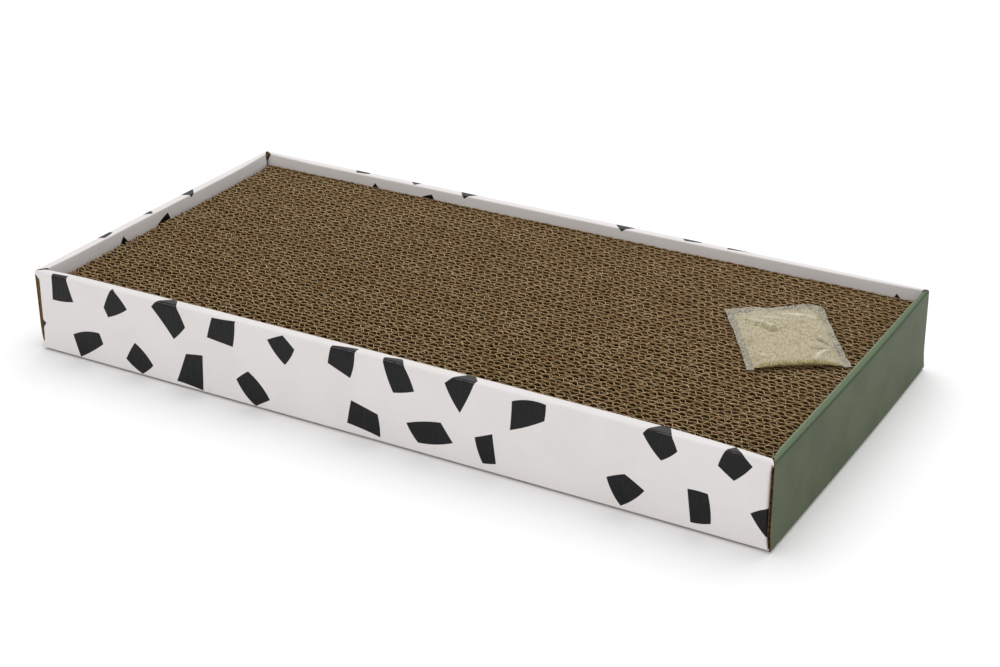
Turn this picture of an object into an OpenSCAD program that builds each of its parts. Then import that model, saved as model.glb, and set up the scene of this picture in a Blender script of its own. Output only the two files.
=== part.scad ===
// Cardboard cat scratcher: a shallow tray folded from one printed board, a pad of corrugated
// strips that stand on edge with their flutes open at the top, and a herb sachet on the pad.
// X runs along the tray, the front wall is at -Y, the floor is at z = 0. Millimetres.

/* [Tray] */
// Outside length of the tray
tray_l = 454; // [300:1:600]
// Outside width of the tray
tray_w = 224; // [120:1:320]
// Height of the rim above the floor
tray_h = 49.5; // [30:0.5:90]
// Thickness of the tray's board
board_t = 1.6; // [1:0.1:3]
// Room inside an end wall between the corner flap and the inner wall
fold_room = 1.4; // [0.4:0.1:6]
// Outside radius of a creased edge
crease_r = 1.2; // [0.2:0.1:3]
// Gap between two walls where they meet in a corner
corner_gap = 0.6; // [0.2:0.1:2]

/* [Corner flaps] */
// Reach of a corner flap along the end wall
flap_l = 62; // [20:1:100]
// Clearance of a flap from the base and from the rim
flap_gap = 0.8; // [0.2:0.1:4]
// Cut across each free corner of a flap
flap_cut = 10; // [0:1:12]

/* [Locking tabs] */
// Length of a tab along its wall
tab_l = 30; // [12:1:60]
// Clearance between a tab and its slot
tab_gap = 0.3; // [0.1:0.05:1]
// Distance of a tab's end from the floor
tab_lift = 0.3; // [0.1:0.05:0.8]
// Narrowing of a tab towards its end, on each side
tab_taper = 2; // [0:0.5:5]

/* [Pad] */
// Depth of the pad's top below the rim
recess = 7.4; // [1:0.1:20]
// Clearance between the pad and the inner walls
pad_gap = 0.4; // [0.2:0.1:3]
// Thickness of the corrugated board that the strips are cut from
strip_t = 3.4; // [3.2:0.1:8]
// Length of one flute along a strip
flute_l = 8.16; // [7.6:0.02:16]
// Thickness of the two glued liners between neighbouring strips
liner_t = 0.4; // [0.2:0.05:0.8]
// Thickness of the fluted paper, measured across the strip
flute_t = 0.45; // [0.2:0.05:0.8]
// Thickness of the glue between the flutes and a liner
glue_t = 0.03; // [0.02:0.01:0.1]
// Share of a flute by which each strip is shifted against the one before
shift_share = 0.684; // [0:0.001:1]
// Strips in one bundle of the pad
bundle_strips = 4; // [2:1:6]

/* [Sachet] */
// Length of the sachet
sachet_l = 74; // [40:1:120]
// Width of the sachet
sachet_w = 55; // [30:1:90]
// Width of the sealed border
seal_w = 5; // [2:0.5:9]
// Thickness of one web of the pouch
web_t = 0.25; // [0.1:0.05:0.6]
// Height of the upper web above the lower web at its fullest
fill_h = 4; // [1:0.5:8]
// Share by which the fuller end is higher than the middle
pile_share = 0.35; // [0:0.05:0.9]
// Share by which the creases raise and lower the upper web
crumple_share = 0.08; // [0:0.01:0.15]
// Direction of the sachet's fuller end, from +X towards +Y
sachet_turn = -57; // [-90:0.5:90]
// Distance of the sachet's nearest corner from the right-hand inner wall
sachet_clear = 2.5; // [0.5:0.1:40]
// Distance of the sachet's centre behind the middle of the tray
sachet_back = 27.5; // [-10:1:30]

/* [Hidden] */
// Extra reach of a cutting solid past the face that it cuts
over = 1;
// Steps in the rounding of a creased edge
arc_steps = 3;
// Places of the tabs, as shares of the wall's length from its middle
long_tab_shares = [-0.33, 0, 0.33];
end_tab_shares = [-0.26, 0.26];
// Share of the pouch's inside, each way, that the herb covers
herb_reach_share = 0.86;
// Share of the pouch's inner height that the herb fills
herb_height_share = 0.8;
// Creases along and across the upper web
crease_waves = [5, 3];
// Grid steps of the upper web and of the herb, along and across
web_steps = [14, 9];
herb_steps = [10, 6];

rim_w = 3 * board_t + fold_room;
fold_r = min(crease_r, 0.9 * board_t);
wall_top = tray_h - board_t;
long_outer_l = tray_l - 2 * board_t;
long_inner_l = tray_l - 4 * board_t - 2 * corner_gap;
end_inner_l = tray_w - 2 * rim_w - 2 * corner_gap;

pad_l = tray_l - 2 * rim_w - 2 * pad_gap;
pad_w = tray_w - 2 * rim_w - 2 * pad_gap;
pad_h = tray_h - board_t - recess;
pad_top = board_t + pad_h;
strip_count = round((pad_w - liner_t) / strip_t);
strip_pitch = (pad_w - liner_t) / strip_count;
half_flute = pad_l / round(pad_l / flute_l) / 2;
crest_low = liner_t + glue_t + flute_t / 2;
crest_high = strip_pitch - glue_t - flute_t / 2;
bundle_count = ceil(strip_count / bundle_strips);

sachet_reach = abs(cos(sachet_turn)) * sachet_l / 2 + abs(sin(sachet_turn)) * sachet_w / 2;
sachet_x = tray_l / 2 - rim_w - sachet_clear - sachet_reach;

white = [0.93, 0.92, 0.91];
green = [0.36, 0.47, 0.38];
kraft = [0.66, 0.52, 0.37];
strip_kraft = [0.56, 0.45, 0.32];
web_white = [0.88, 0.87, 0.80];
herb_olive = [0.60, 0.57, 0.34];

// A wall is drawn at the front, its outer face at y = 0, and put on one of the four sides.
module at_front() translate([0, -tray_w / 2, 0]) children();
module at_back() rotate([0, 0, 180]) translate([0, -tray_w / 2, 0]) children();
module at_left() rotate([0, 0, -90]) translate([0, -tray_l / 2, 0]) children();
module at_right() rotate([0, 0, 90]) translate([0, -tray_l / 2, 0]) children();

// An outline in y and z, drawn out along x.
module along_x(length) rotate([90, 0, 90]) linear_extrude(length) children();

function arc(cx, cy, from, to) = [for (i = [0:arc_steps])
    let (a = from + (to - from) * i / arc_steps) [cx + fold_r * cos(a), cy + fold_r * sin(a)]];

// Section of a board with two creased edges on its upper side.
function creased_section(width) = concat(
    [[0, 0], [width, 0]],
    arc(width - fold_r, board_t - fold_r, 0, 90),
    arc(fold_r, board_t - fold_r, 90, 180));

module creased_board(length, width)
    translate([-length / 2, 0, 0]) along_x(length) polygon(creased_section(width));

// The base lies with its creased edges down, and has a slot for every tab.
module base() {
    color(kraft) difference() {
        translate([0, 0, board_t]) intersection() {
            rotate([180, 0, 0]) translate([0, -tray_w / 2, 0]) creased_board(tray_l, tray_w);
            rotate([180, 0, 90]) translate([0, -tray_l / 2, 0]) creased_board(tray_w, tray_l);
        }
        at_front() slots(long_inner_l, long_tab_shares);
        at_back() slots(long_inner_l, long_tab_shares);
        at_left() slots(end_inner_l, end_tab_shares);
        at_right() slots(end_inner_l, end_tab_shares);
    }
}

module slots(length, shares) {
    for (s = shares)
        translate([s * length - tab_l / 2 - tab_gap, rim_w - board_t - tab_gap, -over])
            cube([tab_l + 2 * tab_gap, board_t + 2 * tab_gap, board_t + 2 * over]);
}

module outer_wall(length)
    translate([-length / 2, 0, board_t]) cube([length, board_t, wall_top - board_t]);

// The rim is the strip of board between the two upper creases of a wall, mitred at its ends.
module rim(length) {
    end = length / 2 - corner_gap / 2;
    translate([0, 0, wall_top]) intersection() {
        creased_board(length, rim_w);
        linear_extrude(board_t)
            polygon([[-end, 0], [end, 0], [end - rim_w, rim_w], [rim_w - end, rim_w]]);
    }
}

// The inner wall hangs from the rim to the base, and its tabs lock in the slots.
module inner_wall(length, shares) {
    tab_depth = board_t - tab_lift;
    outline = concat(
        [[-length / 2, wall_top - board_t], [-length / 2, 0]],
        [for (s = shares) each [
            [s * length - tab_l / 2, 0],
            [s * length - tab_l / 2 + tab_taper, -tab_depth],
            [s * length + tab_l / 2 - tab_taper, -tab_depth],
            [s * length + tab_l / 2, 0]]],
        [[length / 2, 0], [length / 2, wall_top - board_t]]);
    translate([0, rim_w, board_t]) rotate([90, 0, 0]) linear_extrude(board_t) polygon(outline);
}

// A flap continues a long wall round the corner and lies flat behind the end wall.
module corner_flap() {
    low = board_t + flap_gap;
    high = wall_top - flap_gap;
    tip = board_t + flap_l;
    translate([tray_l / 2 - 2 * board_t, 0, 0]) along_x(board_t) polygon([
        [board_t, low], [tip - flap_cut, low], [tip, low + flap_cut],
        [tip, high - flap_cut], [tip - flap_cut, high], [board_t, high]]);
}

// Height of a strip's fluted paper at x, which runs straight from crest to crest.
function flute_y(x, shift) =
    let (u = (x + shift) / half_flute, i = floor(u), part = u - i)
    i % 2 == 0 ? crest_low + (crest_high - crest_low) * part
               : crest_high - (crest_high - crest_low) * part;

// Ends and crests of the fluted paper. A crest close to an end is left to the end itself.
function flute_places(shift) = concat(
    [0],
    [for (i = [1:ceil((pad_l + shift) / half_flute)])
        let (x = i * half_flute - shift) if (x > flute_t && x < pad_l - flute_t) x],
    [pad_l]);

module fluted_paper(k) {
    shift = (k * shift_share - floor(k * shift_share)) * 2 * half_flute;
    places = flute_places(shift);
    last = len(places) - 1;
    linear_extrude(pad_h) polygon(concat(
        [for (i = [0:last]) [places[i], flute_y(places[i], shift) - flute_t / 2]],
        [for (i = [last:-1:0]) [places[i], flute_y(places[i], shift) + flute_t / 2]]));
}

module liner() cube([pad_l, liner_t, pad_h]);

// A bundle of neighbouring strips: each is a liner and a fluted paper, and the pad's last
// strip is closed by one more liner.
module strip_bundle(i) {
    first = (i - 1) * bundle_strips;
    color(strip_kraft) translate([-pad_l / 2, -pad_w / 2, board_t]) {
        for (k = [first:min(first + bundle_strips, strip_count) - 1])
            translate([0, k * strip_pitch, 0]) {
                liner();
                fluted_paper(k);
            }
        if (i == bundle_count) translate([0, strip_count * strip_pitch, 0]) liner();
    }
}

// Closed solid between two height functions over a grid of places along x and y.
module height_solid(xs, ys, low, high) {
    nx = len(xs);
    ny = len(ys);
    function at(i, j, top) = top * nx * ny + j * nx + i;
    function quad(a, b, c, d) = [[a, b, c], [a, c, d]];
    points = concat(
        [for (y = ys) for (x = xs) [x, y, low(x, y)]],
        [for (y = ys) for (x = xs) [x, y, high(x, y)]]);
    sheets = [for (j = [0:ny - 2]) for (i = [0:nx - 2]) each concat(
        quad(at(i, j, 1), at(i, j + 1, 1), at(i + 1, j + 1, 1), at(i + 1, j, 1)),
        quad(at(i, j, 0), at(i + 1, j, 0), at(i + 1, j + 1, 0), at(i, j + 1, 0)))];
    long_sides = [for (i = [0:nx - 2]) each concat(
        quad(at(i, 0, 0), at(i, 0, 1), at(i + 1, 0, 1), at(i + 1, 0, 0)),
        quad(at(i, ny - 1, 0), at(i + 1, ny - 1, 0), at(i + 1, ny - 1, 1), at(i, ny - 1, 1)))];
    short_sides = [for (j = [0:ny - 2]) each concat(
        quad(at(0, j, 0), at(0, j + 1, 0), at(0, j + 1, 1), at(0, j, 1)),
        quad(at(nx - 1, j, 0), at(nx - 1, j, 1), at(nx - 1, j + 1, 1), at(nx - 1, j + 1, 0)))];
    polyhedron(points, concat(sheets, long_sides, short_sides));
}

pouch_half = [sachet_l / 2 - seal_w, sachet_w / 2 - seal_w];

function dome(s) = 1 - pow(min(abs(s), 1), 3);

// Height of the pouch's inside: crowned, higher towards the fuller end, flat in the seals.
function pouch_lift(x, y) =
    let (u = x / pouch_half[0], v = y / pouch_half[1])
    fill_h * dome(u) * dome(v) * (1 + pile_share * min(max(u, -1), 1)) / (1 + pile_share);

function crumpled_lift(x, y) =
    pouch_lift(x, y) * (1 + crumple_share
        * sin(180 * crease_waves[0] * x / sachet_l) * cos(180 * crease_waves[1] * y / sachet_w));

function even_places(half, steps) = [for (i = [0:steps]) half * (2 * i / steps - 1)];

module on_pad()
    translate([sachet_x, sachet_back, pad_top]) rotate([0, 0, sachet_turn]) children();

module sachet_lower_web()
    color(web_white) on_pad()
        translate([-sachet_l / 2, -sachet_w / 2, 0]) cube([sachet_l, sachet_w, web_t]);

module sachet_upper_web()
    color(web_white) on_pad() height_solid(
        concat([-sachet_l / 2], even_places(pouch_half[0], web_steps[0]), [sachet_l / 2]),
        concat([-sachet_w / 2], even_places(pouch_half[1], web_steps[1]), [sachet_w / 2]),
        function(x, y) web_t + crumpled_lift(x, y),
        function(x, y) 2 * web_t + crumpled_lift(x, y));

module herb_filling()
    color(herb_olive) on_pad() height_solid(
        even_places(herb_reach_share * pouch_half[0], herb_steps[0]),
        even_places(herb_reach_share * pouch_half[1], herb_steps[1]),
        function(x, y) web_t,
        function(x, y) web_t + herb_height_share * pouch_lift(x, y));

base();

color(white) at_front() outer_wall(long_outer_l);  // front_outer_wall
color(white) at_back() outer_wall(long_outer_l);  // back_outer_wall
color(white) at_left() outer_wall(tray_w);  // left_outer_wall
color(green) at_right() outer_wall(tray_w);  // right_outer_wall

color(white) at_front() rim(tray_l);  // front_rim
color(white) at_back() rim(tray_l);  // back_rim
color(white) at_left() rim(tray_w);  // left_rim
color(green) at_right() rim(tray_w);  // right_rim

color(white) at_front() inner_wall(long_inner_l, long_tab_shares);  // front_inner_wall
color(white) at_back() inner_wall(long_inner_l, long_tab_shares);  // back_inner_wall
color(white) at_left() inner_wall(end_inner_l, end_tab_shares);  // left_inner_wall
color(green) at_right() inner_wall(end_inner_l, end_tab_shares);  // right_inner_wall

color(kraft) at_front() corner_flap();  // front_right_flap
color(kraft) at_front() mirror([1, 0, 0]) corner_flap();  // front_left_flap
color(kraft) at_back() corner_flap();  // back_left_flap
color(kraft) at_back() mirror([1, 0, 0]) corner_flap();  // back_right_flap

sachet_lower_web();
sachet_upper_web();
herb_filling();

for (i = [1:bundle_count])
    strip_bundle(i);
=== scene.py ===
"""Looks of the cardboard cat scratcher: a folded, printed tray, a pad of open flutes, a herb sachet.

The shapes are worked out in millimetres, in the frame of the CAD model, and mesh_piece() turns
them into metres. X runs along the tray, the front wall is at -Y and the floor is at z = 0.
"""

import math

import bpy
import numpy as np
from mathutils import Matrix, Vector


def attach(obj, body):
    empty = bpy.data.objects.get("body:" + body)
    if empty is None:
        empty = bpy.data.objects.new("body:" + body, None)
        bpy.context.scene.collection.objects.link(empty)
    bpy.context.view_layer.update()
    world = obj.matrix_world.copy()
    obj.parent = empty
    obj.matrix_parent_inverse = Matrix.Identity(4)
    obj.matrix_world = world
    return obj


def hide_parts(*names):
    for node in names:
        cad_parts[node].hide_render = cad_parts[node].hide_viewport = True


MM = 0.001

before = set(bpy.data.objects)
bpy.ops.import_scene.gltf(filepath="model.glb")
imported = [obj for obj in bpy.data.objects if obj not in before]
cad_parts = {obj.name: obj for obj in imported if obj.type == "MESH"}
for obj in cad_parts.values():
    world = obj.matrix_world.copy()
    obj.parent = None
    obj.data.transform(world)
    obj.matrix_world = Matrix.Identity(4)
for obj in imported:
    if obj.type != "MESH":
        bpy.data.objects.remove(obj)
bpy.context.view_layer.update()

# Sizes of the CAD model, in millimetres.
TRAY_L = 454.0
TRAY_W = 224.0
TRAY_H = 49.5
BOARD_T = 1.6
RIM_W = 6.2
CORNER_GAP = 0.6
TAB_L = 30.0
TAB_GAP = 0.3
TAB_TAPER = 2.0
TAB_DEPTH = 1.3
LONG_TAB_SHARES = (-0.33, 0.0, 0.33)
END_TAB_SHARES = (-0.26, 0.26)
PAD_L = 440.8
PAD_W = 210.8
PAD_TOP = 42.1
STRIP_COUNT = 62
FLUTE_COUNT = 54
BUNDLE_STRIPS = 4
CAD_LINER_T = 0.4
STRIP_PITCH = (PAD_W - CAD_LINER_T) / STRIP_COUNT
HALF_FLUTE = PAD_L / FLUTE_COUNT / 2
SHIFT_SHARE = 0.684  # of a flute, from one strip to the next
SACHET_L = 74.0
SACHET_W = 55.0
SACHET_TURN = math.radians(-57.0)
SACHET_AT = (175.09, 27.5, PAD_TOP)


def linear(red, green, blue):
    """The numbers that a shader takes for a colour as it looks on a screen, 0 to 255."""
    shares = [c / 255 for c in (red, green, blue)]
    return tuple([c / 12.92 if c < 0.04045 else ((c + 0.055) / 1.055) ** 2.4 for c in shares] + [1.0])


# Colours.
BOARD_WHITE = linear(213, 209, 208)
BOARD_SHADE = linear(210, 206, 204)
INK_BLACK = linear(12, 11, 14)
INK_WORN = linear(30, 29, 30)
BOARD_GREEN = linear(86, 95, 73)
BOARD_GREEN_DEEP = linear(78, 86, 65)
# Painted shade along the green board's outer folds.
GREEN_FOLD_SHADE = linear(56, 68, 48)
# Painted light: a lighter green for the rim, where light falls on the top, and the inner wall past it.
RIM_GREEN_LIT = linear(86, 101, 78)
GREEN_WORN = linear(132, 140, 118)
KRAFT_LIGHT = linear(156, 128, 90)
KRAFT_MID = linear(134, 104, 68)
KRAFT_DARK = linear(98, 72, 44)
KRAFT_ORANGE = linear(146, 98, 50)
KRAFT_OLIVE = linear(112, 104, 62)
RAW_LIGHT = linear(134, 106, 72)
RAW_DARK = linear(92, 68, 42)
# Painted shade on the green wall's raw ends.
GAP_SHADE = linear(36, 24, 16)
STRIP_LIGHT = linear(133, 104, 66)
STRIP_MID = linear(109, 84, 50)
STRIP_DARK = linear(72, 51, 29)
# Painted shade, deep in the pad's holes and on the green wall's raw ends.
STRIP_DEEP_SHADE = linear(26, 15, 6)
CUT_LIGHT = linear(224, 200, 161)
CUT_DARK = linear(142, 114, 78)
# Painted highlight on the sachet's ridges and painted shade in its grooves.
WEB_RIDGE_HIGHLIGHT = linear(204, 198, 178)
WEB_GROOVE_SHADE = linear(126, 112, 84)
WEB_PALE = linear(196, 187, 164)
WEB_MID = linear(144, 133, 104)
WEB_GREY = linear(138, 132, 117)
WEB_SEAL = linear(172, 165, 145)
WEB_FLECK = linear(84, 82, 78)
HERB_OLIVE = linear(114, 105, 54)
HERB_PALE = linear(172, 162, 112)
HERB_DARK = linear(58, 50, 22)
FLOOR_WHITE = linear(246, 246, 246)


# Shader writing.
class Field:
    """A value that a shader works out at each point. Sums and products of fields add nodes."""

    def __init__(self, maker, socket):
        self.maker = maker
        self.socket = socket

    def __add__(self, other):
        return self.maker.math("ADD", self, other)

    def __sub__(self, other):
        return self.maker.math("SUBTRACT", self, other)

    def __rsub__(self, other):
        return self.maker.math("SUBTRACT", other, self)

    def __mul__(self, other):
        return self.maker.math("MULTIPLY", self, other)

    def __truediv__(self, other):
        return self.maker.math("DIVIDE", self, other)

    __radd__ = __add__


class Maker:
    """Writes the nodes of one material round a Principled BSDF."""

    def __init__(self, name, **constants):
        self.material = bpy.data.materials.new(name)
        self.material.use_nodes = True
        self.tree = self.material.node_tree
        self.tree.nodes.clear()
        self.surface = self.node("ShaderNodeBsdfPrincipled")
        output = self.node("ShaderNodeOutputMaterial")
        self.tree.links.new(self.surface.outputs[0], output.inputs["Surface"])
        for socket_name, value in constants.items():
            self.set(socket_name.replace("_", " "), value)

    def node(self, kind, **settings):
        made = self.tree.nodes.new(kind)
        for key, value in settings.items():
            setattr(made, key, value)
        return made

    def put(self, socket, value):
        if isinstance(value, Field):
            self.tree.links.new(value.socket, socket)
        else:
            socket.default_value = value

    def set(self, socket_name, value):
        self.put(self.surface.inputs[socket_name], value)

    def wired(self, kind, inputs, output=0, **settings):
        """One output of a new node, with values or fields put into its inputs."""
        made = self.node(kind, **settings)
        for key, value in inputs.items():
            self.put(made.inputs[key], value)
        return Field(self, made.outputs[output])

    def math(self, operation, *values):
        return self.wired("ShaderNodeMath", dict(enumerate(values)), operation=operation)

    def place(self):
        """The point in the frame of the model, in metres."""
        return self.wired("ShaderNodeTexCoord", {}, "Object")

    def attribute(self, name, output="Fac"):
        return self.wired("ShaderNodeAttribute", {}, output, attribute_name=name)

    def parts(self, vector):
        made = self.node("ShaderNodeSeparateXYZ")
        self.put(made.inputs[0], vector)
        return [Field(self, socket) for socket in made.outputs]

    def vector(self, x, y, z):
        return self.wired("ShaderNodeCombineXYZ", {0: x, 1: y, 2: z})

    def stretched(self, vector, scale):
        return self.wired("ShaderNodeVectorMath", {0: vector, 1: scale}, operation="MULTIPLY")

    def noise(self, vector, scale, detail=2.0, roughness=0.5):
        inputs = {"Vector": vector, "Scale": scale, "Detail": detail, "Roughness": roughness}
        return self.wired("ShaderNodeTexNoise", inputs, "Fac")

    def hashed(self, vector):
        """Three random shares for a vector of whole numbers."""
        inputs = {"Vector": vector}
        colour = self.wired("ShaderNodeTexWhiteNoise", inputs, "Color", noise_dimensions="3D")
        return self.parts(colour)

    def step(self, value, low, high):
        """0 before low and 1 past high, smooth between them. It falls where low is the larger."""
        inputs = {"Value": value, "From Min": low, "From Max": high}
        return self.wired("ShaderNodeMapRange", inputs, "Result", interpolation_type="SMOOTHSTEP")

    def mix(self, share, colour_a, colour_b):
        inputs = {0: share, 6: colour_a, 7: colour_b}
        return self.wired("ShaderNodeMix", inputs, 2, data_type="RGBA")

    def bump(self, height, depth_mm):
        """Bends the shading normal as if the surface rose by depth_mm where height is 1."""
        inputs = {"Height": height, "Distance": depth_mm * MM}
        self.set("Normal", self.wired("ShaderNodeBump", inputs))


# Ink chips of the print, in millimetres of the sheet.
CHIP_CELL = (38.0, 30.0)
CHIP_STRAY = (6.0, 5.0)
CHIP_HALF_SIZES = (9.2, 6.4, 9.2, 6.4)
CHIP_EDGE = 0.12
ROW_SHIFT_SHARE = 0.43


def chip_mask(maker, along, across):
    """1 on the ink chips and 0 between them. Six cells in seven hold one, with four bowed sides."""
    cell_u, cell_v = CHIP_CELL
    row = maker.math("FLOOR", across / cell_v)
    shifted = along + row * (ROW_SHIFT_SHARE * cell_u)
    column = maker.math("FLOOR", shifted / cell_u)
    chance = [maker.hashed(maker.vector(column, row, float(i))) for i in range(5)]
    off_u = (chance[0][0] - 0.5) * CHIP_STRAY[0]
    off_v = (chance[0][1] - 0.5) * CHIP_STRAY[1]
    p_u = shifted - (column + 0.5) * cell_u - off_u
    p_v = across - (row + 0.5) * cell_v - off_v
    turn = chance[0][2] * math.tau
    turn_cos = maker.math("COSINE", turn)
    turn_sin = maker.math("SINE", turn)
    q_u = p_u * turn_cos + p_v * turn_sin
    q_v = p_v * turn_cos - p_u * turn_sin
    outside = None
    for i, half in enumerate(CHIP_HALF_SIZES):
        size_chance, angle_chance, bow_chance = chance[1 + i]
        angle = (angle_chance - 0.5) * 0.75 + i * math.pi / 2
        side_cos = maker.math("COSINE", angle)
        side_sin = maker.math("SINE", angle)
        reach = q_u * side_cos + q_v * side_sin
        slide = q_v * side_cos - q_u * side_sin
        bowed = reach + slide * slide * (bow_chance * 0.022 - 0.004)
        beyond = bowed - (size_chance * 0.55 + 0.72) * half
        outside = beyond if outside is None else maker.math("MAXIMUM", outside, beyond)
    inside = maker.step(outside, CHIP_EDGE, -CHIP_EDGE)
    kept = maker.math("LESS_THAN", chance[1][0] + chance[2][1], 1.45)
    return inside * kept


# Ways along the board from the wall's edge under the base: to the line where the print begins, in
# the lower fold, and to the middle of the rim.
PRINT_EDGE_WAY = 2.6
RIM_MIDDLE_WAY = 54.2
BOARD_FLUTE = 3.3
TICK_PITCH = 2.0


def before_print(maker, across):
    """1 on the bare edge of the sheet, before the line where the print begins."""
    return maker.step(across, PRINT_EDGE_WAY + 0.2, PRINT_EDGE_WAY - 0.2)


def finish_board(maker, colour, ink_share, bare_roughness, ink_roughness, flute_depth, tick_share):
    """Coated surface of a corrugated board: washboard, fine grain, dents and a ticked inner fold."""
    along, across, over_flutes = maker.parts(maker.attribute("sheet", "Vector"))
    crease = maker.attribute("crease")
    place = maker.place()
    ripple = maker.math("SINE", over_flutes * (math.tau / BOARD_FLUTE)) * 0.5
    grain = maker.noise(place, 2600.0, 3.0, 0.6)
    dents = maker.noise(place, 60.0, 2.0)
    ticks = maker.math("SINE", along * (math.tau / TICK_PITCH))
    on_inner_fold = maker.step(across, RIM_MIDDLE_WAY - 1.0, RIM_MIDDLE_WAY + 1.0)
    tick_height = maker.step(ticks, -0.2, 0.6) * crease * on_inner_fold * tick_share
    height = ripple * flute_depth + grain * 0.10 + dents * 0.6 - tick_height
    maker.bump(height, 0.12)
    maker.set("Base Color", colour)
    fine = maker.noise(place, 900.0, 2.0)
    roughness = ink_share * (ink_roughness - bare_roughness) + bare_roughness
    maker.set("Roughness", roughness + (fine - 0.5) * 0.1)


def printed_board():
    maker = Maker("printed_board", Specular_IOR_Level=0.2)
    along, across, _ = maker.parts(maker.attribute("sheet", "Vector"))
    crease = maker.attribute("crease")
    place = maker.place()
    mask = chip_mask(maker, along, across)
    cloud = maker.noise(place, 38.0, 3.0, 0.55)
    specks = maker.step(maker.noise(place, 1500.0, 2.0), 0.70, 0.78)
    bare = maker.mix(maker.step(cloud, 0.38, 0.70), BOARD_WHITE, BOARD_SHADE)
    bare = maker.mix(specks * 0.25, bare, KRAFT_LIGHT)
    bare = maker.mix(before_print(maker, across), bare, KRAFT_DARK)
    ink = maker.mix(maker.step(maker.noise(place, 420.0, 3.0), 0.4, 0.9) * 0.5, INK_BLACK, INK_WORN)
    # Cracked ink along the folds; its lighter line also stands for a painted highlight of the fold.
    crack_noise = maker.noise(place, 520.0, 3.0, 0.6)
    crack_and_sheen = maker.step(crease, 0.96, 1.0) * maker.step(crack_noise, 0.30, 0.60)
    mask = mask * (1.0 - crack_and_sheen * 0.30)
    finish_board(maker, maker.mix(mask, bare, ink), mask, 0.46, 0.34, 0.30, 0.4)
    return maker.material


def green_board():
    maker = Maker("green_board", Specular_IOR_Level=0.1)
    crease = maker.attribute("crease")
    place = maker.place()
    cloud = maker.noise(place, 30.0, 3.0, 0.55)
    across = maker.parts(maker.attribute("sheet", "Vector"))[1]
    on_rim = maker.step(across, RIM_MIDDLE_WAY - 3.4, RIM_MIDDLE_WAY - 2.6)
    on_inner_fold = maker.step(across, RIM_MIDDLE_WAY + 1.6, RIM_MIDDLE_WAY + 2.4)
    colour = maker.mix(maker.step(cloud, 0.35, 0.7), BOARD_GREEN, BOARD_GREEN_DEEP)
    # Painted light: the rim and the inner wall past it are a lighter green than the outer wall.
    colour = maker.mix(on_rim, colour, RIM_GREEN_LIT)
    # Painted shade along the outer folds, but not on the inner fold.
    fold_shade = maker.step(crease, 0.3, 0.9) * (1.0 - on_inner_fold)
    colour = maker.mix(fold_shade * 0.8, colour, GREEN_FOLD_SHADE)
    worn = maker.step(crease, 0.55, 1.0) * maker.step(maker.noise(place, 700.0, 3.0, 0.6), 0.45, 0.75)
    on_inner_edge = maker.step(across, RIM_MIDDLE_WAY + 1.0, RIM_MIDDLE_WAY + 2.0)
    edge_worn = on_inner_edge * maker.step(maker.noise(place, 900.0, 2.0), 0.25, 0.6)
    colour = maker.mix(maker.math("MAXIMUM", worn * 0.12, edge_worn * 0.6), colour, GREEN_WORN)
    colour = maker.mix(before_print(maker, across), colour, KRAFT_DARK)
    finish_board(maker, colour, 0.0, 0.55, 0.55, 0.22, 1.3)
    return maker.material


def kraft_paper(name, light, mid, dark, fibre_depth, fuzz=None):
    """Brown recycled paper: fibres, clouds of tone, and darker, orange and olive flecks.

    fuzz is the colour of the loosened fibres just under a sawn edge, where there are any. That
    paper also gets painted shade, darker with its depth in the pad, but not on the pad's own sides.
    """
    maker = Maker(name, Roughness=0.92, Specular_IOR_Level=0.1)
    place = maker.place()
    tone = maker.attribute("tone")
    fibre = maker.noise(maker.stretched(place, (1.0, 1.0, 0.35)), 1700.0, 4.0, 0.65)
    cloud = maker.noise(place, 55.0, 2.0)
    flecks = maker.step(maker.noise(place, 700.0, 2.0), 0.66, 0.74)
    orange = maker.step(maker.noise(place, 210.0, 3.0), 0.56, 0.70)
    worn = maker.step(maker.noise(place, 360.0, 2.0), 0.48, 0.66)
    colour = maker.mix(maker.step(fibre, 0.3, 0.7), mid, light)
    colour = maker.mix(maker.step(cloud + (tone - 0.5) * 0.5, 0.35, 0.75) * 0.5, colour, mid)
    colour = maker.mix(maker.step(tone, 0.75, 0.0) * 0.45, colour, dark)
    colour = maker.mix(flecks * 0.5, colour, dark)
    colour = maker.mix(orange * 0.5, colour, KRAFT_ORANGE)
    olive = maker.step(maker.noise(place, 170.0, 3.0), 0.58, 0.42)
    colour = maker.mix(olive * 0.2, colour, KRAFT_OLIVE)
    colour = maker.mix(worn * 0.4, colour, dark)
    if fuzz:
        out_x, out_y = [
            maker.step(maker.math("ABSOLUTE", side), inside * MM, (inside + 0.5) * MM)
            for side, inside in zip(maker.parts(place), (PAD_L / 2 - 0.6, PAD_W / 2 - 0.8))
        ]
        shut_in = 1.0 - maker.math("MAXIMUM", out_x, out_y)
        # Painted shade: darker with depth in the pad, but not on the pad's own sides.
        deep_shade = maker.step(maker.attribute("depth"), 0.12, 0.50) * shut_in
        colour = maker.mix(deep_shade * 0.85, colour, STRIP_DEEP_SHADE)
        near_edge = maker.step(maker.attribute("depth") + (fibre - 0.5) * 0.2, 0.16, 0.02)
        colour = maker.mix(near_edge * 0.7, colour, fuzz)
    maker.set("Base Color", colour)
    maker.bump(fibre + cloud * 0.5, fibre_depth)
    return maker.material


PRINTED = printed_board()
GREEN = green_board()
KRAFT = kraft_paper("kraft_paper", KRAFT_LIGHT, KRAFT_MID, KRAFT_DARK, 0.12)
RAW = kraft_paper("raw_edge", RAW_LIGHT, RAW_DARK, KRAFT_DARK, 0.2)
# Paper painted with shade, for the green wall's raw ends.
RAW_EDGE_SHADE = kraft_paper("shaded_raw_edge", KRAFT_DARK, GAP_SHADE, STRIP_DEEP_SHADE, 0.2)


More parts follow.
